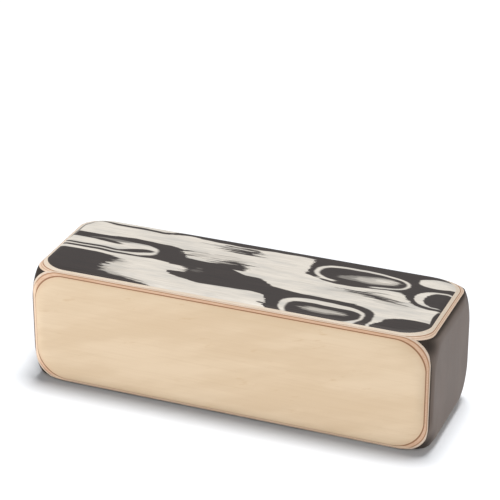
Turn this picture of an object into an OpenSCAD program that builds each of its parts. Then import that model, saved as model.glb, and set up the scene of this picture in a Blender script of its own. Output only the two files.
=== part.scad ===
// Box shaker: four plywood panels glued round two solid end blocks, with loose steel beads sealed inside.
// The glued box is rounded over as one piece, so every ply runs out as a band along the edges and corners.
// Millimetres. X runs along the length, the front faces -Y, Z is up; the origin is under the middle of the base.

/* [Body] */
// Length of the body, end to end
body_length = 150; // [110:1:220]
// Depth of the body, front to rear
body_depth = 48; // [36:0.5:70]
// Height of the body
body_height = 46; // [34:0.5:70]

/* [Rounding] */
// How far the round-over reaches along the faces it runs out on
edge_reach = 6; // [3:0.1:8]
// How far the round-over cuts in behind the front and rear faces
edge_depth = 4.2; // [2.5:0.1:8]
// Extra rounding of the corners of the front and rear faces
face_ease = 7.5; // [3:0.1:9]
// Extra rounding of the corners of the top, the bottom and the ends
side_ease = 5.5; // [3:0.1:9]
// Depth below a face at which its extra rounding has died away
ease_depth = 6; // [4:0.1:8]
// Steps in a quarter turn round a corner
corner_steps = 8; // [4:1:12]
// Steps across an edge's round-over
edge_steps = 6; // [4:1:10]

/* [Front and rear panels] */
// Thickness of the pale face ply
face_ply = 0.9; // [0.5:0.05:1.5]
// Thickness of the middle ply
core_ply = 0.55; // [0.3:0.05:1.5]
// Thickness of the ply next to the cavity
inner_ply = 0.4; // [0.3:0.05:1.5]

/* [Top and bottom panels] */
// Thickness of the figured veneer
figured_veneer = 0.5; // [0.3:0.05:1.2]
// Thickness of the ply under the veneer
backing_ply = 0.65; // [0.3:0.05:1.5]
// Thickness of the ply next to the cavity
lining_ply = 0.8; // [0.3:0.05:1.5]

/* [End blocks] */
// Thickness of each end block along the body
end_block = 12; // [10:0.5:25]

/* [Beads] */
// Diameter of a bead
bead_d = 3.5; // [2:0.1:6]
// Gap between neighbouring beads of a group
bead_gap = 0.3; // [0.2:0.05:1]
// Clearance between the beads and the cavity walls
bead_clear = 0.2; // [0.1:0.05:0.5]
// Rows of beads in a group, front to rear
bead_rows = 3; // [1:1:5]

/* [Hidden] */
bead_groups = 10;
PANEL_NODES = [
    "front_face_ply", "front_core_ply", "front_inner_ply",
    "rear_face_ply", "rear_core_ply", "rear_inner_ply",
    "top_figured_veneer", "top_backing_ply", "top_lining_ply",
    "bottom_figured_veneer", "bottom_backing_ply", "bottom_lining_ply",
    "left_end_block", "right_end_block"
];

// Colours of the woods and of the beads
pale_face = [0.87, 0.77, 0.65];
warm_core = [0.82, 0.66, 0.53];
cream_ply = [0.88, 0.80, 0.72];
dyed_veneer = [0.36, 0.34, 0.33];
black_block = [0.24, 0.22, 0.21];
bright_steel = [0.72, 0.73, 0.75];

// Panels and cavity
front_panel = face_ply + core_ply + inner_ply;
top_panel = figured_veneer + backing_ply + lining_ply;
cavity_length = body_length - 2 * end_block;
cavity_depth = body_depth - 2 * front_panel;
cavity_height = body_height - 2 * top_panel;
// How far the cutting slabs stand out past the body
spare = 1;

// Half sizes, the round-over along each axis, and the extra rounding of the faces across each axis
half_size = [body_length, body_depth, body_height] / 2;
round_over = [edge_reach, edge_depth, edge_reach];
corner_ease = [side_ease, face_ease, side_ease];
quarter_turn = 90;
both_sides = [-1, 1];
// Share by which a point on two outlines may pass either of them
rounding_error = 1e-6;

// Beads: a group fills one slot of the cavity's length, and all slots are alike
bead_pitch = bead_d + bead_gap;
bead_slot = cavity_length / bead_groups;
bead_columns = floor((bead_slot - bead_gap) / bead_pitch);
bead_group_depth = (bead_rows - 1) * bead_pitch + bead_d;
bead_travel = (cavity_depth - bead_group_depth) / 2 - bead_clear;
bead_height = top_panel + bead_clear + bead_d / 2;
// At rest the groups lie scattered over this share of their travel, each a turn on from the last
bead_scatter = 0.8;
bead_turn = 140;
// Sides round a bead where it is drawn with flat facets
bead_sides = 48;

function times(a, b) = [for (i = [0:2]) a[i] * b[i]];
function axis(k) = [for (i = [0:2]) i == k ? 1 : 0];

// At a depth below the face across axis k the body is a rectangle with oval corners. The round-over lets it open out
// as the depth grows, and the extra rounding of its corners dies away.
function opened(k, depth) = sqrt(1 - pow(max(0, 1 - depth / round_over[k]), 2));
function fading(depth) = pow(max(0, 1 - depth / ease_depth), 2);
function corner_radii(k, depth) = round_over + corner_ease[k] * fading(depth) * [1, 1, 1];
function corner_middle(k, depth) = half_size - (1 - opened(k, depth)) * round_over - corner_radii(k, depth);

// A point of that outline, turned round a corner from the next axis to the one after it
function outline_point(k, depth, turn) =
    let (
        along = cos(turn) * axis((k + 1) % 3) + sin(turn) * axis((k + 2) % 3),
        corner = corner_middle(k, depth) + times(corner_radii(k, depth), along)
    )
    [for (i = [0:2]) i == k ? half_size[k] - depth : corner[i]];

// How far a point reaches into the corner of that outline at its own depth: 1 is on the outline, more is outside
function corner_share(k, p) =
    let (depth = half_size[k] - p[k], middle = corner_middle(k, depth), radii = corner_radii(k, depth))
    norm([for (i = [0:2]) i == k ? 0 : max(0, p[i] - middle[i]) / radii[i]]);

// The outlines below one face, where they lie inside those of the other two
function face_points(k) = [
    for (i = [0:edge_steps], j = [0:corner_steps])
        let (
            depth = round_over[k] * (1 - cos(quarter_turn * i / edge_steps)),
            p = outline_point(k, depth, quarter_turn * j / corner_steps),
            share = max(corner_share((k + 1) % 3, p), corner_share((k + 2) % 3, p))
        )
        if (share < 1 + rounding_error) p
];

corner_points = concat(face_points(0), face_points(1), face_points(2));

// The rounded outside of the shaker, round the corners on the given sides of the middle
module body_form(x_sides = both_sides, y_sides = both_sides, z_sides = both_sides) {
    points = [
        for (x = x_sides, y = y_sides, z = z_sides, p = corner_points)
            times([x, y, z], p) + [0, 0, body_height / 2]
    ];
    hull() polyhedron(points = points, faces = [for (i = [0:len(points) - 3]) [i, i + 1, i + 2]]);
}

// The slice of the form between two distances behind the front face (side -1) or the rear face (side 1)
module face_slice(side, near, far) {
    intersection() {
        body_form(y_sides = [side]);
        translate([0, side * (body_depth - near - far) / 2, body_height / 2])
            cube([body_length + 2 * spare, far - near, body_height + 2 * spare], center = true);
    }
}

// The slice between two distances under the top (side 1) or over the base (side -1), between front and rear panels
module level_slice(side, near, far) {
    intersection() {
        body_form(z_sides = [side]);
        translate([0, 0, (body_height + side * (body_height - near - far)) / 2])
            cube([body_length + 2 * spare, cavity_depth, far - near], center = true);
    }
}

module front_face_ply() {
    color(pale_face) face_slice(-1, -spare, face_ply);
}

module front_core_ply() {
    color(warm_core) face_slice(-1, face_ply, face_ply + core_ply);
}

module front_inner_ply() {
    color(cream_ply) face_slice(-1, face_ply + core_ply, front_panel);
}

module rear_face_ply() {
    color(pale_face) face_slice(1, -spare, face_ply);
}

module rear_core_ply() {
    color(warm_core) face_slice(1, face_ply, face_ply + core_ply);
}

module rear_inner_ply() {
    color(cream_ply) face_slice(1, face_ply + core_ply, front_panel);
}

module top_figured_veneer() {
    color(dyed_veneer) level_slice(1, -spare, figured_veneer);
}

module top_backing_ply() {
    color(cream_ply) level_slice(1, figured_veneer, figured_veneer + backing_ply);
}

module top_lining_ply() {
    color(cream_ply) level_slice(1, figured_veneer + backing_ply, top_panel);
}

module bottom_figured_veneer() {
    color(dyed_veneer) level_slice(-1, -spare, figured_veneer);
}

module bottom_backing_ply() {
    color(cream_ply) level_slice(-1, figured_veneer, figured_veneer + backing_ply);
}

module bottom_lining_ply() {
    color(cream_ply) level_slice(-1, figured_veneer + backing_ply, top_panel);
}

// A plug inside the four panels, flush with their ends; side is -1 at the left end and 1 at the right
module end_plug(side) {
    color(black_block) intersection() {
        body_form();
        translate([side * (cavity_length + end_block + spare) / 2, 0, body_height / 2])
            cube([end_block + spare, cavity_depth, cavity_height], center = true);
    }
}

module left_end_block() {
    end_plug(-1);
}

module right_end_block() {
    end_plug(1);
}

// One group of loose beads on the cavity floor, counted from the left end
module bead_group(k) {
    slot_x = (k - (bead_groups + 1) / 2) * bead_slot;
    rest_y = bead_travel * bead_scatter * sin(bead_turn * k);
    color(bright_steel)
        for (i = [1:bead_columns], j = [1:bead_rows])
            translate([
                slot_x + (i - (bead_columns + 1) / 2) * bead_pitch,
                rest_y + (j - (bead_rows + 1) / 2) * bead_pitch,
                bead_height
            ])
                sphere(d = bead_d, $fn = bead_sides);
}

front_face_ply();
front_core_ply();
front_inner_ply();
rear_face_ply();
rear_core_ply();
rear_inner_ply();
top_figured_veneer();
top_backing_ply();
top_lining_ply();
bottom_figured_veneer();
bottom_backing_ply();
bottom_lining_ply();
left_end_block();
right_end_block();
for (k = [1:bead_groups]) bead_group(k);
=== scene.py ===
"""Looks of a wooden box shaker: sanded plies and end blocks, their woods, a floor, light and a camera.

Lengths are in metres, and the materials work in millimetres taken from Object coordinates. X runs along the
body, the front faces -Y and Z is up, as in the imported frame.
"""

import math

import bmesh
import bpy
import numpy as np
from mathutils import Matrix, Vector


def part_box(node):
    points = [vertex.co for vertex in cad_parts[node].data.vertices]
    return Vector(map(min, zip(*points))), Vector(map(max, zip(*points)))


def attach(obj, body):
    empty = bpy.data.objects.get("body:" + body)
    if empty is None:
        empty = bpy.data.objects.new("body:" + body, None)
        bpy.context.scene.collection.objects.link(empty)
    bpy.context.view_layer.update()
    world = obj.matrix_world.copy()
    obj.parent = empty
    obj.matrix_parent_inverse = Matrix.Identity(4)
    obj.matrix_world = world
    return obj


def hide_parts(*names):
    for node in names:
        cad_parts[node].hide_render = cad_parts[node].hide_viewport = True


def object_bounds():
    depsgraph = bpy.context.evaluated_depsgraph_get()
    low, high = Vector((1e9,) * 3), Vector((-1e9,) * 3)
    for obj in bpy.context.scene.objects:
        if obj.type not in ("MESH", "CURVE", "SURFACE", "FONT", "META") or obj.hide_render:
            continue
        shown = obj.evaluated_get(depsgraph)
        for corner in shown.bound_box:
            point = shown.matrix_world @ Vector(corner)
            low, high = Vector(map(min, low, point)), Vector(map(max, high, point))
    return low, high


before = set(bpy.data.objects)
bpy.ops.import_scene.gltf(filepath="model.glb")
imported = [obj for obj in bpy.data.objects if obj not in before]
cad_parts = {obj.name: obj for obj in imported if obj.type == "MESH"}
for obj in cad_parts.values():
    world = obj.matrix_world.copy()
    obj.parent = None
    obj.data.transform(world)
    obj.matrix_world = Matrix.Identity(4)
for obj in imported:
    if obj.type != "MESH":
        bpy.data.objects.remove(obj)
cad_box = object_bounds()

MM = 0.001
TINY = 1e-6

# Sizes of the body: the box comes from the frame, and the rounding is the one that the solids have
LOW, HIGH = np.array(cad_box[0]), np.array(cad_box[1])
HALF = (HIGH - LOW) / 2
MIDDLE = (HIGH + LOW) / 2
ROUND_OVER = np.array([6.0, 4.2, 6.0]) * MM
CORNER_EASE = np.array([5.5, 7.5, 5.5]) * MM
EASE_DEPTH = 6.0 * MM
LENGTHWAYS, FRONT_BACK, UPRIGHT = range(3)

# Fineness of the meshes, inset of a flat face's inner ring, and the angle from which an edge stays sharp
CORNER_POINTS = 40
STRAIGHT_STEP = 5 * MM
BAND_ROWS = 9
HALVINGS = 44
FLAT_INSET = 0.985
CAP_POINTS = 81
SHARP_ANGLE = math.radians(40)


def outline_corner(axis, depth):
    """Middles and radii of the oval corners of the body's outline at depths below the face across an axis.

    The face's round-over draws the outline in by its radii times 1 - sqrt(1 - s squared), where s is 1 less
    the depth over the round-over. The corners have the radii of the round-over plus the easing, which fades
    out as the square of 1 less the depth over EASE_DEPTH.
    """
    sunk = np.clip(1 - depth / ROUND_OVER[axis], 0, 1)[..., None]
    inset = ROUND_OVER * (1 - np.sqrt(1 - sunk**2))
    fading = np.clip(1 - depth / EASE_DEPTH, 0, 1)[..., None] ** 2
    radii = ROUND_OVER + CORNER_EASE[axis] * fading
    return HALF - inset - radii, radii


def held(point):
    """Whether points in one eighth of the body lie within the outlines below all three of its faces."""
    inside = np.ones(point.shape[:-1], bool)
    for axis in range(3):
        middle, radii = outline_corner(axis, HALF[axis] - point[..., axis])
        share = np.maximum(point - middle, 0) / radii
        share[..., axis] = 0
        inside &= (share**2).sum(-1) < 1 + TINY
    return inside


def furthest(start, way):
    """Where ways from points inside the body leave it, found by halving the share of the way."""
    near, far = np.zeros(way.shape[:-1]), np.ones(way.shape[:-1])
    for _ in range(HALVINGS):
        share = (near + far) / 2
        inside = held(start + share[..., None] * way)
        near = np.where(inside, share, near)
        far = np.where(inside, far, share)
    return start + near[..., None] * way


def quarter_outline(axis, depths):
    """A quarter of the body's outline at each depth below the face across an axis, round an oval corner."""
    turn = np.linspace(0, math.pi / 2, CORNER_POINTS)
    middle, radii = outline_corner(axis, depths)
    start = np.repeat(middle[:, None], CORNER_POINTS, axis=1)
    start[..., axis] = HALF[axis] - depths[:, None]
    way = np.zeros_like(start)
    way[..., (axis + 1) % 3] = np.cos(turn)
    way[..., (axis + 2) % 3] = np.sin(turn)
    return furthest(start, way * radii[:, None])


def outline_rings(axis, side, depths):
    """Closed outlines at each depth: the quarter mirrored round the axis, with points on the straights."""
    quarter = quarter_outline(axis, depths)
    corners = []
    for first, second in ((1, 1), (-1, 1), (-1, -1), (1, -1)):
        sign = np.empty(3)
        sign[[axis, (axis + 1) % 3, (axis + 2) % 3]] = side, first, second
        corners.append(quarter[:, :: first * second] * sign)
    stretches = []
    for corner, following in zip(corners, corners[1:] + corners[:1]):
        start, end = corner[:, -1:], following[:, :1]
        count = int(np.linalg.norm(end[0] - start[0]) / STRAIGHT_STEP)
        share = np.linspace(0, 1, count + 2)[1:-1, None]
        stretches += [corner, start + share * (end - start)]
    return MIDDLE + np.concatenate(stretches, axis=1)


def skin_faces(rings):
    """Faces of a closed skin over rings of points: four-sided between rings, and a flat cap at each end."""
    index = np.arange(rings.shape[0] * rings.shape[1]).reshape(rings.shape[:2])
    ahead = np.roll(index, -1, axis=1)
    walls = np.stack([index[:-1], ahead[:-1], ahead[1:], index[1:]], -1).reshape(-1, 4)
    return walls.tolist() + [index[0].tolist(), index[-1].tolist()]


def band_depths(near, far):
    """Depths of a ply's rings: in even steps, or growing as the square where it starts at a flat face."""
    share = np.linspace(0, 1, BAND_ROWS)
    return far * share**2 if near < TINY else near + (far - near) * share


def ply_rings(node, axis, side):
    """Rings round a ply between the two planes of its solid, and inside the panels that it lies between.

    A ply that starts at a flat face gets one more ring on that face, drawn in towards its middle.
    """
    low, high = (np.array(corner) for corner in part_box(node))
    near, far = (HIGH - high, HIGH - low) if side > 0 else (low - LOW, high - LOW)
    rings = outline_rings(axis, side, band_depths(near[axis], far[axis]))
    if near[axis] < TINY:
        inset = rings[:1] * FLAT_INSET + rings[:1].mean(1, keepdims=True) * (1 - FLAT_INSET)
        rings = np.concatenate([inset, rings])
    return np.clip(rings, low, high)


def block_shape(node, side):
    """Points and faces of an end block: a domed cap over a grid of y and z, and walls to a flat back.

    The grid is a sine of even steps, so it is finest where the cap rounds over.
    """
    low, high = (np.array(corner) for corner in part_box(node))
    share = np.sin(np.linspace(-1, 1, CAP_POINTS) * math.pi / 2)
    y = share[:, None] * (high - low)[FRONT_BACK] / 2 * np.ones(CAP_POINTS)
    z = share[None, :] * (high - low)[UPRIGHT] / 2 * np.ones((CAP_POINTS, 1))
    inner = low[LENGTHWAYS] if side > 0 else high[LENGTHWAYS]
    start = np.stack([np.zeros_like(y), abs(y), abs(z)], -1)
    reach = furthest(start, np.zeros_like(start) + [HALF[LENGTHWAYS], 0, 0])[..., LENGTHWAYS]
    cap = np.stack([side * reach, y, z], -1) + MIDDLE
    index = np.arange(CAP_POINTS**2).reshape(CAP_POINTS, CAP_POINTS)
    quads = np.stack([index[:-1, :-1], index[1:, :-1], index[1:, 1:], index[:-1, 1:]], -1)
    rim = np.concatenate([index[:-1, 0], index[-1, :-1], index[:0:-1, -1], index[0, :0:-1]])
    back = cap.reshape(-1, 3)[rim].copy()
    back[:, LENGTHWAYS] = inner
    back_index = CAP_POINTS**2 + np.arange(len(rim))
    walls = np.stack([rim, np.roll(rim, -1), np.roll(back_index, -1), back_index], -1)
    points = np.concatenate([cap.reshape(-1, 3), back])
    return points, quads.reshape(-1, 4).tolist() + walls.tolist() + [back_index.tolist()]


def sanded_piece(node, points, faces, material):
    """Puts a smooth piece in a node's place: doubles merged, faces outwards, sharp where planes meet."""
    mesh = bpy.data.meshes.new(node + "_sanded")
    mesh.from_pydata(points.reshape(-1, 3), [], faces)
    work = bmesh.new()
    work.from_mesh(mesh)
    bmesh.ops.remove_doubles(work, verts=work.verts, dist=TINY)
    bmesh.ops.dissolve_degenerate(work, edges=work.edges, dist=TINY)
    bmesh.ops.recalc_face_normals(work, faces=work.faces)
    work.to_mesh(mesh)
    work.free()
    mesh.shade_smooth()
    mesh.set_sharp_from_angle(angle=SHARP_ANGLE)
    mesh.materials.append(material)
    piece = bpy.data.objects.new(node + "_sanded", mesh)
    bpy.context.scene.collection.objects.link(piece)
    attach(piece, "casing")
    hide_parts(node)


# A mixing node's colour sockets share their names with others, so they are taken by number
MIX_FACTOR, MIX_FIRST, MIX_SECOND, MIX_RESULT = 0, 6, 7, 2


def colour(red, green, blue):
    """A screen colour, from 0 to 255, turned into light.

    Each c becomes ((c / 255 + 0.055) / 1.055) to the power 2.4, or c / 255 / 12.92 where it is very dark.
    """
    screen = np.array([red, green, blue]) / 255
    light = np.where(screen < 0.04045, screen / 12.92, ((screen + 0.055) / 1.055) ** 2.4)
    return (*light.tolist(), 1.0)


def feed(tree, socket, value):
    """Links a socket to the one that feeds it, or sets its plain value."""
    if isinstance(value, bpy.types.NodeSocket):
        tree.links.new(value, socket)
    else:
        socket.default_value = value


def put(tree, kind, inputs, **settings):
    """Adds a node to a tree. Inputs map socket names or numbers to plain values or to feeding sockets."""
    made = tree.nodes.new("ShaderNode" + kind)
    for name, value in settings.items():
        setattr(made, name, value)
    for name, value in inputs.items():
        feed(tree, made.inputs[name], value)
    return made


def calc(tree, operation, first, second=0.0):
    """The result of one sum on two values or sockets."""
    return put(tree, "Math", {0: first, 1: second}, operation=operation).outputs[0]


def mixed(tree, factor, first, second):
    """Two colours mixed by a factor."""
    inputs = {MIX_FACTOR: factor, MIX_FIRST: first, MIX_SECOND: second}
    return put(tree, "Mix", inputs, data_type="RGBA").outputs[MIX_RESULT]


def share_of(tree, value, start, end, low=0.0, high=1.0, **settings):
    """A value taken from low at start to high at end, evenly unless the settings say otherwise."""
    inputs = {"Value": value, "From Min": start, "From Max": end, "To Min": low, "To Max": high}
    return put(tree, "MapRange", inputs, **settings).outputs["Result"]


def ranged(tree, value, start, end, low=0.0, high=1.0):
    """A value taken smoothly from low at start to high at end."""
    return share_of(tree, value, start, end, low, high, interpolation_type="SMOOTHSTEP")


def layered(tree, tone, layers):
    """A tone with stains laid over it in turn.

    A layer gives a value, where the stain sets in and where it is full, its share there, and its colour.
    """
    for value, start, end, share, stain in layers:
        tone = mixed(tree, ranged(tree, value, start, end, 0.0, share), tone, stain)
    return tone


def turned(tree, place, axis, angle):
    """A place turned round one of the axes."""
    inputs = {"Vector": place, "Angle": angle}
    return put(tree, "VectorRotate", inputs, rotation_type=axis).outputs[0]


def new_group(name, inputs, outputs):
    """An empty node group: its tree, its input sockets by name and its output sockets by name."""
    tree = bpy.data.node_groups.new(name, "ShaderNodeTree")
    for label, kind in inputs.items():
        tree.interface.new_socket(label, in_out="INPUT", socket_type="NodeSocket" + kind)
    for label, kind in outputs.items():
        tree.interface.new_socket(label, in_out="OUTPUT", socket_type="NodeSocket" + kind)
    return tree, tree.nodes.new("NodeGroupInput").outputs, tree.nodes.new("NodeGroupOutput").inputs


def use(tree, group, **inputs):
    """Places a node group in a tree. Words of an input's name are joined by underscores."""
    made = tree.nodes.new("ShaderNodeGroup")
    made.node_tree = group
    for name, value in inputs.items():
        feed(tree, made.inputs[name.replace("_", " ")], value)
    return made.outputs


# Shares of a glue line's width, from its middle, at which it has faded out and at which it is full
LINE_EDGE, LINE_CORE = 0.5, 0.3
# Half the blur of an edge in the veneer's figure, and the least share of a patch's width after a taper
FIGURE_BLUR = 0.2
LEAST_WIDTH = 0.1


def fibre_group():
    """Wood fibres: noise drawn out along X, with the given length and width of a fibre in millimetres."""
    tree, given, result = new_group(
        "wood fibres", {"Place": "Vector", "Length": "Float", "Width": "Float"}, {"Fibre": "Float"}
    )
    sides = {"X": given["Length"], "Y": given["Width"], "Z": given["Width"]}
    size = put(tree, "CombineXYZ", sides).outputs[0]
    place = put(tree, "VectorMath", {0: given["Place"], 1: size}, operation="DIVIDE").outputs[0]
    noise = put(tree, "TexNoise", {"Vector": place, "Scale": 1.0, "Detail": 3.0, "Roughness": 0.6})
    tree.links.new(noise.outputs["Fac"], result["Fibre"])
    return tree


def depth_group():
    """Depths in millimetres: behind the front or rear face, and under the top or over the base."""
    tree, given, result = new_group(
        "ply depths", {"Place": "Vector"}, {"Behind Face": "Float", "Under Top": "Float"}
    )
    part = put(tree, "SeparateXYZ", {0: given["Place"]}).outputs
    off_middle = calc(tree, "SUBTRACT", part["Z"], MIDDLE[UPRIGHT] / MM)
    behind = calc(tree, "SUBTRACT", HALF[FRONT_BACK] / MM, calc(tree, "ABSOLUTE", part["Y"]))
    under = calc(tree, "SUBTRACT", HALF[UPRIGHT] / MM, calc(tree, "ABSOLUTE", off_middle))
    tree.links.new(behind, result["Behind Face"])
    tree.links.new(under, result["Under Top"])
    return tree


def line_group():
    """A glue line: 1 where a depth is that of the line, falling to 0 half a width away."""
    tree, given, result = new_group(
        "glue line", {"Depth": "Float", "At": "Float", "Width": "Float"}, {"Line": "Float"}
    )
    off = calc(tree, "ABSOLUTE", calc(tree, "SUBTRACT", given["Depth"], given["At"]))
    share = calc(tree, "DIVIDE", off, given["Width"])
    tree.links.new(ranged(tree, share, LINE_EDGE, LINE_CORE), result["Line"])
    return tree


def patch_group():
    """A patch of the figure: an oval that a power makes pointed, round or square, with frayed ends.

    The place is taken from the oval's middle and turned to it, and the fray shifts it along the oval. The
    reach is the root of the summed powers of its shares of the half length and of the half width, and is 1
    on the edge.
    """
    numbers = (
        "X", "Y", "Fray", "Middle X", "Middle Y", "Cosine", "Sine",
        "Half Length", "Half Width", "Power", "Taper", "Feather",
    )
    tree, given, result = new_group("figure patch", dict.fromkeys(numbers, "Float"), {"Mask": "Float"})
    cosine, sine = given["Cosine"], given["Sine"]
    x = calc(tree, "SUBTRACT", given["X"], given["Middle X"])
    y = calc(tree, "SUBTRACT", given["Y"], given["Middle Y"])
    turned_x = calc(tree, "ADD", calc(tree, "MULTIPLY", x, cosine), calc(tree, "MULTIPLY", y, sine))
    turned_y = calc(tree, "SUBTRACT", calc(tree, "MULTIPLY", y, cosine), calc(tree, "MULTIPLY", x, sine))
    along = calc(tree, "ADD", turned_x, calc(tree, "MULTIPLY", given["Fray"], given["Feather"]))
    along = calc(tree, "DIVIDE", along, given["Half Length"])
    widened = calc(tree, "ADD", calc(tree, "MULTIPLY", along, given["Taper"]), 1.0)
    width = calc(tree, "MULTIPLY", given["Half Width"], calc(tree, "MAXIMUM", widened, LEAST_WIDTH))
    across = calc(tree, "DIVIDE", turned_y, width)
    powers = [
        calc(tree, "POWER", calc(tree, "ABSOLUTE", share), given["Power"]) for share in (along, across)
    ]
    reach = calc(tree, "POWER", calc(tree, "ADD", *powers), calc(tree, "DIVIDE", 1.0, given["Power"]))
    inside = calc(tree, "MULTIPLY", calc(tree, "SUBTRACT", 1.0, reach), given["Half Width"])
    tree.links.new(ranged(tree, inside, -FIGURE_BLUR, FIGURE_BLUR), result["Mask"])
    return tree


FIBRES = fibre_group()
DEPTHS = depth_group()
GLUE_LINE = line_group()
PATCH = patch_group()


def new_material(name):
    """A new material with one shader: its tree, its place in millimetres and its shader."""
    material = bpy.data.materials.new(name)
    material.use_nodes = True
    tree = material.node_tree
    shader = tree.nodes["Principled BSDF"]
    spot = tree.nodes.new("ShaderNodeTexCoord").outputs["Object"]
    place = put(tree, "VectorMath", {0: spot, "Scale": 1 / MM}, operation="SCALE").outputs[0]
    return material, tree, place, shader


def finish_with(tree, shader, tone, roughness, height, strength, distance):
    """Feeds a colour and a roughness to the shader, and a height through a bump to its normal."""
    tree.links.new(tone, shader.inputs["Base Color"])
    tree.links.new(roughness, shader.inputs["Roughness"])
    bump = put(tree, "Bump", {"Height": height, "Strength": strength, "Distance": distance})
    tree.links.new(bump.outputs["Normal"], shader.inputs["Normal"])


# Depths of the glue lines, of a growth line and of the end blocks' joints, in millimetres
FACE_LINE = (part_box("front_face_ply")[1].y - LOW[FRONT_BACK]) / MM
CORE_LINE = (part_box("front_core_ply")[1].y - LOW[FRONT_BACK]) / MM
BACKING_LINE = (HIGH[UPRIGHT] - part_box("top_backing_ply")[0].z) / MM
GROWTH_LINE = BACKING_LINE + 0.35
BLOCK_SIDE = (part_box("right_end_block")[0].y - LOW[FRONT_BACK]) / MM
BLOCK_TOP = (HIGH[UPRIGHT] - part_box("right_end_block")[1].z) / MM

# How far an end block is darker: a dark joint line with painted shade beside the side joints and beside the
# top joint, and painted shade at the corners
SIDE_SHADE = 0.6
TOP_SHADE = 2.0
CORNER_SHADE = 8.0
# How dark the joint lines and their painted shade get, how much duller, and how glossy the block is
SIDE_DARK = 0.7
TOP_DARK = 0.85
JOINT_DULL = 0.3
BLOCK_GLOSS = 0.25

# Where the core ply goes from its own tone to paler, up from the base as painted light against the shade
# under the round-over and along the body at the left edge, and how pale it gets
PAINTED_LIGHT_LOW = (3.4, 2.4)
PALE_LEFT = (-71.6, -72.6)
PALE_EDGE_SHARE = 0.8

# Slope of the growth bands in the face ply
FACE_SLOPE = math.radians(15)

# Spans of the fibres' noise and of the steel's marks, and how high they stand
FIBRE_SPAN = (0.35, 0.65)
MARK_SPAN = (0.3, 0.7)
FIBRE_HEIGHT = 0.2 * MM
MARK_HEIGHT = 0.1 * MM

# Spans of roughness of the bare plies, the dyed veneer, the stained blocks and the steel
BARE_SHEEN = (0.44, 0.56)
DYED_SHEEN = (0.4, 0.5)
STAINED_SHEEN = (0.48, 0.58)
STEEL_SHEEN = (0.16, 0.32)

GLUE_BROWN = colour(152, 106, 70)
PALE_BROWN = colour(178, 130, 95)
FAINT_BROWN = colour(214, 178, 148)


def pale_face_wood():
    """Pale face ply: sloping growth bands, faint grain, tan flecks and a glue line at its inner edge."""
    material, tree, place, shader = new_material("pale_face_wood")
    sloped = turned(tree, place, "Y_AXIS", FACE_SLOPE)
    grain = use(tree, FIBRES, Place=place, Length=30.0, Width=0.7)["Fibre"]
    growth = use(tree, FIBRES, Place=sloped, Length=45.0, Width=9.0)["Fibre"]
    fleck = use(tree, FIBRES, Place=sloped, Length=8.0, Width=1.8)["Fibre"]
    depth = use(tree, DEPTHS, Place=place)["Behind Face"]
    line = use(tree, GLUE_LINE, Depth=depth, At=FACE_LINE, Width=0.22)["Line"]
    tone = layered(tree, colour(229, 205, 173), (
        (growth, 0.35, 0.65, 1.0, colour(221, 195, 161)),
        (grain, 0.4, 0.75, 0.22, colour(212, 183, 146)),
        (fleck, 0.62, 0.78, 0.5, colour(211, 179, 136)),
        (depth, 0.3, 0.8, 0.45, colour(218, 184, 150)),
    ))
    tone = mixed(tree, line, tone, GLUE_BROWN)
    roughness = ranged(tree, grain, *FIBRE_SPAN, *BARE_SHEEN)
    finish_with(tree, shader, tone, roughness, grain, strength=0.08, distance=FIBRE_HEIGHT)
    return material


def ply_edge_wood(name, light, dark, lines, pale_edge_with_painted_light=None):
    """A ply seen on edge: streaks of two tones along the body, and the lines of its glue and growth.

    A line gives the depth that it goes by, its place, its width and its stain. A ply given a pale edge
    takes a paler colour along the lower and left edges of its panel; along the lower edge it is painted
    light against the shade there.
    """
    material, tree, place, shader = new_material(name)
    streak = use(tree, FIBRES, Place=place, Length=9.0, Width=0.35)["Fibre"]
    tone = layered(tree, light, ((streak, 0.3, 0.7, 1.0, dark),))
    depths = use(tree, DEPTHS, Place=place)
    for depth_name, at, width, stain in lines:
        line = use(tree, GLUE_LINE, Depth=depths[depth_name], At=at, Width=width)["Line"]
        tone = mixed(tree, line, tone, stain)
    # Paler along the lower edge as painted light against the shade under it, and paler along the left edge
    if pale_edge_with_painted_light:
        part = put(tree, "SeparateXYZ", {0: place}).outputs
        low = ranged(tree, part["Z"], *PAINTED_LIGHT_LOW, 0.0, PALE_EDGE_SHARE)
        left = ranged(tree, part["X"], *PALE_LEFT, 0.0, PALE_EDGE_SHARE)
        tone = mixed(tree, calc(tree, "MAXIMUM", low, left), tone, pale_edge_with_painted_light)
    roughness = ranged(tree, streak, *FIBRE_SPAN, *BARE_SHEEN)
    finish_with(tree, shader, tone, roughness, streak, strength=0.15, distance=FIBRE_HEIGHT)
    return material


# How strongly the grain frays the veneer's figure, the feather of its fields, and how far it all wanders
FRAY = 3.0
FIELD_FEATHER = 1.5
WANDER = 1.6

# Tones of the figure, from the black dye to the white
BLACK, SOOT, SMOKE, ASH, HAZE, WHITE = 0.0, 0.1, 0.3, 0.65, 0.85, 1.0

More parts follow.
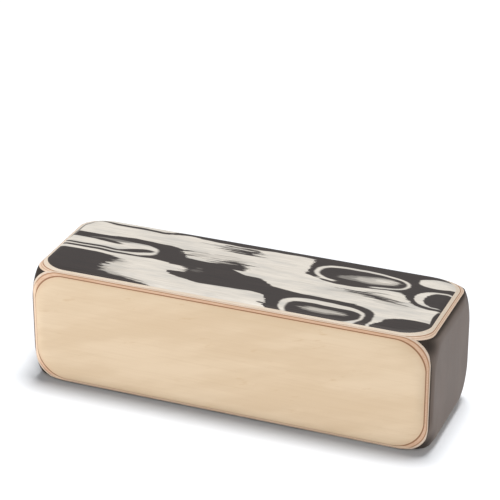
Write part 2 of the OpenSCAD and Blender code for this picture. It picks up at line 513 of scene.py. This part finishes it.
# Black fields, in millimetres from the leaf's middle: start and end, points of the lower and the upper edge
FIELDS = (
    # Along the rear edge
    (-66.0, 22.0,
     ((-75, 19.6), (-66, 19.1), (-58, 18.2), (-50, 17.8), (-42, 17.5), (-38, 18), (-33, 18.9), (-29, 19),
      (-25, 18.4), (-12, 17.8), (-3, 18), (5, 18.5), (15, 18.5), (22, 18), (75, 18)),
     ((-75, 19.6), (-66, 19.7), (-58, 19.5), (-50, 19.2), (-42, 18.9), (-38, 19.5), (-34, 20.8),
      (-28, 21.6), (-20, 22.5), (75, 23))),
    # Round the rear right eye and the right end eye
    (18.4, 75.0,
     ((-75, 6.6), (18, 6.5), (22, 5.5), (27, 4.1), (33, 3.3), (40, 3.7), (48, 4.5), (53, 5), (55.5, 4),
      (57.5, 1.5), (60, -1), (63, -2.6), (67, -3.6), (75, -3.7)),
     ((-75, 23), (75, 23))),
    # From the left eye through the middle to the front right eye
    (-75.0, 42.0,
     ((-75, -2.7), (-40, -2.8), (-35, -2.6), (-29, -3), (-27.5, -9.4), (-25, -11.2), (-21, -12.4),
      (-13, -13.6), (-7, -13.2), (5, -13), (10, -13.6), (12, -15.8), (12.5, -19), (14, -22), (17, -24),
      (75, -24)),
     ((-75, 8), (-66, 8.4), (-60, 8.9), (-53, 9.8), (-46, 10.3), (-40, 9.9), (-34, 9.7), (-31, 9.1),
      (-28.5, 7.5), (-26.5, 5.6), (-25, 3.5), (-23.5, 2.4), (-19, 2.2), (-14, 2.6), (-11, 3.4), (-8.5, 4.5),
      (-5.5, 4.8), (-3.6, 3.8), (-2.6, 1.2), (-2, -0.9), (0, -2.3), (4, -2.7), (7, -3.5), (9, -5),
      (11, -6.3), (16, -7.3), (24, -8.6), (32, -8.5), (75, -8.5))),
)

# Patches, in order: tone, middle x and y, half length and width, slant in degrees, power, taper, feather
PATCHES = (
    # Smoke at the rear edge
    (ASH, -17.0, 15.7, 5.5, 0.4, 0, 2.0, 0.0, 6.0),
    (ASH, -9.0, 14.4, 6.0, 2.1, 0, 2.0, 0.0, 8.0),
    (BLACK, -7.5, 12.8, 7.0, 0.5, 0, 2.0, 0.0, 6.0),
    (BLACK, -9.5, 14.0, 6.2, 0.45, 0, 2.0, 0.0, 8.0),
    (BLACK, -8.8, 15.1, 6.6, 0.5, 0, 2.0, 0.0, 8.0),
    (BLACK, -11.0, 16.7, 5.5, 0.5, 3, 2.0, 0.0, 7.0),
    (BLACK, -4.8, 15.2, 2.8, 2.2, 0, 2.0, 0.0, 4.0),
    (HAZE, -9.5, 16.0, 2.4, 0.4, 0, 2.0, 0.0, 6.0),
    # Wisps over the middle
    (HAZE, -20.5, 7.0, 6.0, 1.7, 0, 2.0, 0.0, 7.0),
    (HAZE, -9.5, 8.0, 6.5, 1.2, 0, 2.0, 0.0, 8.0),
    (ASH, -22.0, 8.4, 3.2, 0.7, 0, 2.0, 0.0, 6.0),
    (ASH, -21.0, 6.0, 4.2, 1.0, 0, 2.0, 0.0, 7.0),
    (BLACK, -28.0, 8.0, 3.0, 0.5, 6, 2.0, 0.0, 3.0),
    (BLACK, -25.0, 5.0, 3.4, 0.45, -4, 2.0, 0.0, 4.0),
    (ASH, -11.5, 8.9, 3.6, 0.4, 0, 2.0, 0.0, 6.0),
    (SMOKE, -9.5, 6.3, 5.4, 0.45, 2, 2.0, 0.0, 7.0),
    (SMOKE, -11.5, 3.6, 4.4, 0.5, 4, 2.0, 0.0, 6.0),
    (BLACK, -11.0, 4.7, 5.4, 0.4, 2, 2.0, 0.0, 7.0),
    (BLACK, -6.5, 5.1, 4.2, 0.8, 0, 2.0, 0.0, 6.0),
    (BLACK, -4.8, 2.2, 2.8, 2.4, 0, 2.0, 0.0, 3.0),
    (WHITE, -2.4, -0.6, 3.8, 0.9, -12, 2.0, 0.9, 0.8),
    (SOOT, -17.8, -5.6, 1.8, 0.9, 0, 2.0, 0.0, 2.0),
    (SOOT, -17.5, -3.6, 1.2, 0.5, 0, 2.0, 0.0, 2.0),
    # Rear right corner and right end eye
    (WHITE, 65.6, 15.5, 7.8, 3.2, 4, 2.4, 0.0, 0.5),
    (WHITE, 70.6, 4.0, 10.8, 6.2, 0, 2.2, 0.0, 0.4),
    (BLACK, 72.0, 3.0, 9.0, 6.0, -14, 2.2, 0.0, 0.5),
    (BLACK, 71.6, -1.4, 4.2, 1.5, -6, 2.0, 0.0, 0.5),
    (WHITE, 68.2, -1.9, 1.8, 0.3, -8, 2.0, 0.0, 0.8),
    # Rear right eye
    (WHITE, 38.4, 10.5, 17.6, 5.9, -1, 2.5, -0.1, 0.3),
    (BLACK, 38.7, 10.4, 16.0, 4.8, -1, 2.6, -0.1, 0.3),
    (BLACK, 36.5, 5.0, 7.5, 1.1, 0, 2.5, 0.0, 1.5),
    (WHITE, 26.3, 5.8, 3.4, 0.4, 0, 2.0, 0.0, 1.0),
    (SMOKE, 40.7, 9.9, 10.8, 2.6, 5, 2.2, 0.4, 1.5),
    (ASH, 43.6, 10.1, 7.8, 2.1, 5, 2.2, 0.3, 2.5),
    (WHITE, 46.0, 10.6, 3.6, 1.0, 5, 2.0, 0.0, 4.0),
    # Smear between the eyes
    (HAZE, 36.0, -1.8, 7.5, 1.1, -2, 2.0, 0.0, 9.0),
    (HAZE, 54.0, -4.6, 6.0, 0.9, -6, 2.0, 0.0, 8.0),
    (ASH, 44.5, -0.7, 10.5, 1.7, -6, 2.0, 0.0, 9.0),
    (SMOKE, 47.0, 1.6, 4.6, 0.4, 2, 2.0, 0.0, 8.0),
    (SMOKE, 48.0, -1.0, 6.5, 0.6, -8, 2.0, 0.0, 8.0),
    (BLACK, 40.0, 0.6, 5.4, 0.4, 0, 2.0, 0.0, 7.0),
    (BLACK, 43.5, -0.6, 6.0, 0.45, -4, 2.0, 0.0, 8.0),
    (BLACK, 48.5, -1.8, 5.2, 0.6, -8, 2.0, 0.0, 7.0),
    (BLACK, 51.0, -2.8, 6.4, 0.4, -7, 2.0, 0.0, 7.0),
    (BLACK, 54.0, -1.4, 2.6, 0.3, -3, 2.0, 0.0, 5.0),
    (SMOKE, 56.5, -3.5, 3.8, 0.35, -3, 2.0, 0.0, 5.0),
    # Notch in the middle
    (WHITE, -29.0, -6.0, 7.4, 2.6, 0, 2.2, 0.0, 4.5),
    # Front right eye
    (BLACK, 32.3, -17.0, 19.0, 8.6, 0, 2.8, 0.0, 0.5),
    (BLACK, 11.6, -19.4, 1.6, 0.45, -5, 2.0, 0.0, 0.8),
    (WHITE, 33.0, -17.0, 15.2, 6.1, 0, 2.8, 0.0, 0.3),
    (BLACK, 33.8, -17.6, 13.3, 4.3, 1.5, 3.4, -0.1, 0.3),
    (SMOKE, 33.7, -17.3, 8.2, 1.8, 0, 2.2, 0.0, 3.0),
    (ASH, 33.7, -17.0, 6.5, 1.1, 0, 2.0, 0.0, 5.0),
    # Front right corner
    (BLACK, 67.0, -19.6, 12.4, 6.6, 0, 2.8, 0.0, 0.6),
    (BLACK, 60.2, -23.0, 9.3, 7.5, 0, 1.5, 0.0, 0.8),
    (BLACK, 71.6, -9.5, 6.0, 1.5, 90, 3.0, 0.0, 0.4),
    # Left eye
    (WHITE, -55.9, 2.4, 19.7, 4.7, 0, 3.0, 0.0, 0.4),
    (BLACK, -64.5, 7.0, 13.0, 2.0, 1, 2.6, 0.0, 0.8),
    (SMOKE, -55.5, 6.4, 7.8, 0.75, 2, 2.0, 0.2, 1.5),
    (BLACK, -56.5, 5.1, 6.0, 0.9, -5, 2.2, 0.0, 1.0),
    (ASH, -43.8, 6.3, 2.4, 0.3, -8, 2.0, 0.0, 2.5),
    (BLACK, -43.7, 1.4, 6.4, 1.35, 11, 2.0, 0.15, 0.5),
    (BLACK, -47.0, 0.5, 4.0, 0.6, 6, 2.0, 0.0, 0.5),
    (BLACK, -60.5, -0.1, 13.5, 0.65, 0, 3.0, 0.0, 0.6),
    (BLACK, -57.0, -2.1, 18.0, 0.65, 0, 3.0, 0.0, 0.4),
    # Front left corner and left end
    (HAZE, -60.0, -12.0, 18.0, 7.0, 0, 3.0, 0.0, 7.0),
    (ASH, -61.0, -7.6, 16.0, 3.1, 0, 3.0, 0.0, 5.0),
    (ASH, -57.0, -19.5, 14.3, 7.0, 0, 2.0, 0.0, 6.0),
    (BLACK, -62.0, -7.6, 14.8, 3.2, 0, 3.0, 0.0, 2.0),
    (BLACK, -63.0, -13.5, 13.8, 9.0, 0, 4.0, 0.0, 3.5),
    (BLACK, -58.0, -20.0, 12.0, 6.5, 0, 2.0, 0.0, 3.5),
    (BLACK, -56.0, -24.0, 42.0, 7.2, 0, 1.1, 0.0, 3.0),
    (SMOKE, -37.5, -19.0, 6.0, 0.4, -7, 2.0, 0.0, 5.0),
    (ASH, -44.0, -17.6, 4.0, 0.4, -10, 2.0, 0.0, 3.0),
    (SMOKE, -46.5, -8.2, 2.6, 0.4, 0, 2.0, 0.0, 3.0),
    (SMOKE, -70.5, 10.0, 6.5, 0.5, 88, 2.5, 0.0, 0.2),
    (SMOKE, -69.0, 16.2, 2.6, 0.45, 60, 2.0, 0.0, 0.2),
    (ASH, -66.8, 18.5, 1.8, 0.4, 35, 2.0, 0.0, 0.2),
)


def drawn_edge(tree, along, points):
    """The height of a field's edge along the leaf: a smooth curve through points in millimetres."""
    length, width = HALF[LENGTHWAYS] / MM, HALF[FRONT_BACK] / MM
    made = put(tree, "FloatCurve", {"Value": share_of(tree, along, -length, length)})
    spots = [((x + length) / (2 * length), (y + width) / (2 * width)) for x, y in points]
    curve = made.mapping.curves[0]
    curve.points[0].location = spots[0]
    curve.points[1].location = spots[-1]
    for spot in spots[1:-1]:
        curve.points.new(*spot)
    for point in curve.points:
        point.handle_type = "AUTO_CLAMPED"
    made.mapping.update()
    return share_of(tree, made.outputs["Value"], 0.0, 1.0, -width, width)


def painted(tree, dye, mask, tone):
    """A dye painted over with a tone where a mask is 1."""
    kept = calc(tree, "MULTIPLY", calc(tree, "SUBTRACT", 1.0, mask), dye)
    return calc(tree, "ADD", kept, calc(tree, "MULTIPLY", mask, tone))


def figured_veneer(name, turn):
    """Black and white dyed veneer: fields and patches frayed along the grain, fine streaks in both dyes."""
    material, tree, place, shader = new_material(name)
    leaf = turned(tree, place, "Z_AXIS", turn)
    flat = put(tree, "VectorMath", {0: leaf, 1: (1.0, 1.0, 0.0)}, operation="MULTIPLY").outputs[0]
    coarse = use(tree, FIBRES, Place=flat, Length=9.0, Width=0.9)["Fibre"]
    fine = use(tree, FIBRES, Place=flat, Length=16.0, Width=0.35)["Fibre"]
    cloud = use(tree, FIBRES, Place=flat, Length=22.0, Width=4.0)["Fibre"]
    wander = put(tree, "TexNoise", {"Vector": flat, "Scale": 0.09, "Detail": 1.0}).outputs["Color"]
    wander = put(tree, "VectorMath", {0: wander, 1: (0.5, 0.5, 0.5)}, operation="SUBTRACT").outputs[0]
    shift = {0: wander, 1: (WANDER, WANDER, 0.0), 2: flat}
    drawn = put(tree, "VectorMath", shift, operation="MULTIPLY_ADD").outputs[0]
    fray = calc(tree, "MULTIPLY", calc(tree, "SUBTRACT", calc(tree, "ADD", coarse, fine), 1.0), FRAY)
    part = put(tree, "SeparateXYZ", {0: drawn}).outputs
    along = calc(tree, "ADD", part["X"], calc(tree, "MULTIPLY", fray, FIELD_FEATHER))
    dye = WHITE
    for start, end, lower, upper in FIELDS:
        edges = (
            calc(tree, "SUBTRACT", part["Y"], drawn_edge(tree, along, lower)),
            calc(tree, "SUBTRACT", drawn_edge(tree, along, upper), part["Y"]),
            calc(tree, "SUBTRACT", along, start),
            calc(tree, "SUBTRACT", end, along),
        )
        inside = edges[0]
        for edge in edges[1:]:
            inside = calc(tree, "MINIMUM", inside, edge)
        dye = painted(tree, dye, ranged(tree, inside, -FIGURE_BLUR, FIGURE_BLUR), BLACK)
    for tone, x, y, half_length, half_width, slant, power, taper, feather in PATCHES:
        mask = use(
            tree, PATCH, X=part["X"], Y=part["Y"], Fray=fray, Middle_X=x, Middle_Y=y,
            Cosine=math.cos(math.radians(slant)), Sine=math.sin(math.radians(slant)),
            Half_Length=half_length, Half_Width=half_width, Power=power, Taper=taper, Feather=feather,
        )["Mask"]
        dye = painted(tree, dye, mask, tone)
    white = layered(tree, colour(252, 244, 232), (
        (fine, 0.35, 0.75, 1.0, colour(226, 218, 206)),
        (cloud, 0.4, 0.7, 0.75, colour(214, 210, 203)),
    ))
    black = layered(tree, colour(47, 40, 39), ((fine, 0.3, 0.8, 1.0, colour(72, 62, 58)),))
    tone = mixed(tree, dye, black, white)
    roughness = ranged(tree, fine, *FIBRE_SPAN, *DYED_SHEEN)
    finish_with(tree, shader, tone, roughness, fine, strength=0.12, distance=FIBRE_HEIGHT)
    return material


def black_block_wood():
    """Black-stained end block: fine upright grain, clouds, duller dark joint lines with painted shade
    beside them, and painted shade at the corners.
    """
    material, tree, place, shader = new_material("black_block_wood")
    shader.inputs["Specular IOR Level"].default_value = BLOCK_GLOSS
    upright = turned(tree, place, "Y_AXIS", math.pi / 2)
    grain = use(tree, FIBRES, Place=upright, Length=14.0, Width=0.5)["Fibre"]
    cloud = use(tree, FIBRES, Place=upright, Length=16.0, Width=9.0)["Fibre"]
    depths = use(tree, DEPTHS, Place=place)
    behind, under = depths["Behind Face"], depths["Under Top"]
    # Dark joint lines with painted shade beside the side and top joints
    side = ranged(tree, behind, BLOCK_SIDE + SIDE_SHADE, BLOCK_SIDE, 0.0, SIDE_DARK)
    top = ranged(tree, under, BLOCK_TOP + TOP_SHADE, BLOCK_TOP, 0.0, TOP_DARK)
    # Painted shade at the corners, where the reaches from both joints meet
    shade_near_side = ranged(tree, behind, BLOCK_SIDE + CORNER_SHADE, BLOCK_SIDE + SIDE_SHADE)
    shade_near_top = ranged(tree, under, BLOCK_TOP + CORNER_SHADE, BLOCK_TOP + TOP_SHADE, 0.0, TOP_DARK)
    corner = calc(tree, "MULTIPLY", shade_near_side, shade_near_top)
    joint_line_and_painted_shade = calc(tree, "MAXIMUM", calc(tree, "MAXIMUM", side, top), corner)
    tone = layered(tree, colour(102, 88, 78), (
        (grain, 0.3, 0.75, 1.0, colour(115, 100, 90)),
        (cloud, 0.35, 0.7, 0.4, colour(121, 106, 96)),
    ))
    # The joint lines and the painted shade take one dark colour
    tone = mixed(tree, joint_line_and_painted_shade, tone, colour(40, 33, 28))
    dulled = ranged(tree, joint_line_and_painted_shade, 0.0, 1.0, 0.0, JOINT_DULL)
    roughness = calc(tree, "ADD", ranged(tree, grain, *FIBRE_SPAN, *STAINED_SHEEN), dulled)
    finish_with(tree, shader, tone, roughness, grain, strength=0.2, distance=FIBRE_HEIGHT)
    return material


def bead_steel():
    """Bright steel shot: faint rolling marks in its colour and shine."""
    material, tree, place, shader = new_material("bead_steel")
    shader.inputs["Metallic"].default_value = 1.0
    mark = put(tree, "TexNoise", {"Vector": place, "Scale": 1.6, "Detail": 4.0}).outputs["Fac"]
    tone = layered(tree, colour(206, 207, 210), ((mark, *MARK_SPAN, 1.0, colour(176, 178, 182)),))
    roughness = ranged(tree, mark, *MARK_SPAN, *STEEL_SHEEN)
    finish_with(tree, shader, tone, roughness, mark, strength=0.05, distance=MARK_HEIGHT)
    return material


# Pieces: the plies of the four panels, the two end blocks and the beads
pale_face = pale_face_wood()
warm_core = ply_edge_wood(
    "warm_core_ply", colour(226, 190, 160), colour(212, 170, 136),
    (("Behind Face", FACE_LINE, 0.16, GLUE_BROWN), ("Behind Face", CORE_LINE, 0.26, PALE_BROWN)),
    # Paler colour: painted light along the lower edge, and a paler tone along the left edge
    pale_edge_with_painted_light=colour(240, 212, 182),
)
cream_inner = ply_edge_wood(
    "cream_inner_ply", colour(230, 210, 190), colour(216, 192, 168),
    (("Behind Face", CORE_LINE, 0.16, PALE_BROWN),),
)
cream_backing = ply_edge_wood(
    "cream_backing_ply", colour(240, 225, 206), colour(230, 211, 189),
    (("Under Top", BACKING_LINE, 0.2, PALE_BROWN),),
)
cream_lining = ply_edge_wood(
    "cream_lining_ply", colour(243, 217, 193), colour(227, 198, 172),
    (("Under Top", BACKING_LINE, 0.2, PALE_BROWN), ("Under Top", GROWTH_LINE, 0.2, FAINT_BROWN)),
)
top_leaf = figured_veneer("figured_veneer_top", 0.0)
bottom_leaf = figured_veneer("figured_veneer_bottom", math.pi)
black_block = black_block_wood()

PLIES = (
    ("front_face_ply", FRONT_BACK, -1, pale_face),
    ("front_core_ply", FRONT_BACK, -1, warm_core),
    ("front_inner_ply", FRONT_BACK, -1, cream_inner),
    ("rear_face_ply", FRONT_BACK, 1, pale_face),
    ("rear_core_ply", FRONT_BACK, 1, warm_core),
    ("rear_inner_ply", FRONT_BACK, 1, cream_inner),
    ("top_figured_veneer", UPRIGHT, 1, top_leaf),
    ("top_backing_ply", UPRIGHT, 1, cream_backing),
    ("top_lining_ply", UPRIGHT, 1, cream_lining),
    ("bottom_figured_veneer", UPRIGHT, -1, bottom_leaf),
    ("bottom_backing_ply", UPRIGHT, -1, cream_backing),
    ("bottom_lining_ply", UPRIGHT, -1, cream_lining),
)
for node, axis, side, material in PLIES:
    rings = ply_rings(node, axis, side)
    sanded_piece(node, rings, skin_faces(rings), material)

for node, side in (("left_end_block", -1), ("right_end_block", 1)):
    sanded_piece(node, *block_shape(node, side), black_block)

steel = bead_steel()
for name, bead_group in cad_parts.items():
    if name.startswith("bead_group"):
        bead_group.data.materials.clear()
        bead_group.data.materials.append(steel)

# Camera: turned from the front, raised, and moved aside and up so that the body sits low in the picture
CAMERA_TURN = math.radians(21.689)
CAMERA_RISE = math.radians(26.251)
CAMERA_DISTANCE = 770.947 * MM
CAMERA_ASIDE = 0.345 * MM
CAMERA_ABOVE = 49.172 * MM
CAMERA_LENS = 154.17

back = Vector((
    math.sin(CAMERA_TURN) * math.cos(CAMERA_RISE),
    -math.cos(CAMERA_TURN) * math.cos(CAMERA_RISE),
    math.sin(CAMERA_RISE),
))
right = Vector((0, 0, 1)).cross(back).normalized()
up = back.cross(right)
camera = bpy.data.objects.new("camera", bpy.data.cameras.new("camera"))
camera.data.lens = CAMERA_LENS
camera.matrix_world = Matrix((right, up, back)).transposed().to_4x4()
camera.location = right * CAMERA_ASIDE + up * CAMERA_ABOVE + back * CAMERA_DISTANCE
bpy.context.scene.collection.objects.link(camera)
bpy.context.scene.camera = camera

# Floor and light
FLOOR_HALF = 4.0
FLOOR_CORNERS = ((-1, -1), (1, -1), (1, 1), (-1, 1))
FLOOR_COLOUR = (0.3555, 0.3612, 0.3725, 1.0)
WORLD_COLOUR = (1.0, 1.0, 1.0, 1.0)
WORLD_STRENGTH = 0.45

floor_mesh = bpy.data.meshes.new("floor")
floor_points = [(x * FLOOR_HALF, y * FLOOR_HALF, 0.0) for x, y in FLOOR_CORNERS]
floor_mesh.from_pydata(floor_points, [], [(0, 1, 2, 3)])
floor_paper = bpy.data.materials.new("floor_paper")
floor_paper.use_nodes = True
paper = floor_paper.node_tree.nodes["Principled BSDF"].inputs
paper["Base Color"].default_value = FLOOR_COLOUR
paper["Roughness"].default_value = 1.0
paper["Specular IOR Level"].default_value = 0.0
floor_mesh.materials.append(floor_paper)
floor = bpy.data.objects.new("floor", floor_mesh)
bpy.context.scene.collection.objects.link(floor)

world = bpy.data.worlds.new("studio")
world.use_nodes = True
glow = world.node_tree.nodes["Background"].inputs
glow["Color"].default_value = WORLD_COLOUR
glow["Strength"].default_value = WORLD_STRENGTH
bpy.context.scene.world = world
bpy.context.scene.view_settings.view_transform = "Standard"


def softbox(name, place, width, height, power):
    """An oblong lamp at a place, aimed at the middle of the body."""
    lamp = bpy.data.objects.new(name, bpy.data.lights.new(name, "AREA"))
    lamp.data.shape = "RECTANGLE"
    lamp.data.size = width
    lamp.data.size_y = height
    lamp.data.energy = power
    lamp.location = place
    lamp.rotation_euler = (Vector(MIDDLE) - lamp.location).to_track_quat("-Z", "Y").to_euler()
    bpy.context.scene.collection.objects.link(lamp)
    return lamp


def light_only(lamp, name, objects):
    """Lets a lamp light only the given objects."""
    lit = bpy.data.collections.new(name)
    for lit_object in objects:
        lit.objects.link(lit_object)
    lamp.light_linking.receiver_collection = lit


part_objects = [thing for thing in bpy.context.scene.objects if thing.type == "MESH" and thing != floor]
# Lamps: name, place, width and height in metres, power in watts, and what each one lights
LAMPS = (
    ("front softbox", (-0.9, -0.6, 0.15), 0.8, 0.8, 8.3, part_objects),
    ("top softbox", (0.1, 0.2, 1.4), 0.9, 0.9, 8.0, part_objects),
    ("floor softbox", (0.12, 0.3, 2.5), 1.0, 0.7, 160.0, [floor]),
    ("floor fill", (1.2, -1.8, 1.4), 1.0, 1.0, 45.0, [floor]),
)
for name, place, width, height, power, objects in LAMPS:
    light_only(softbox(name, Vector(place), width, height, power), name + " lights", objects)
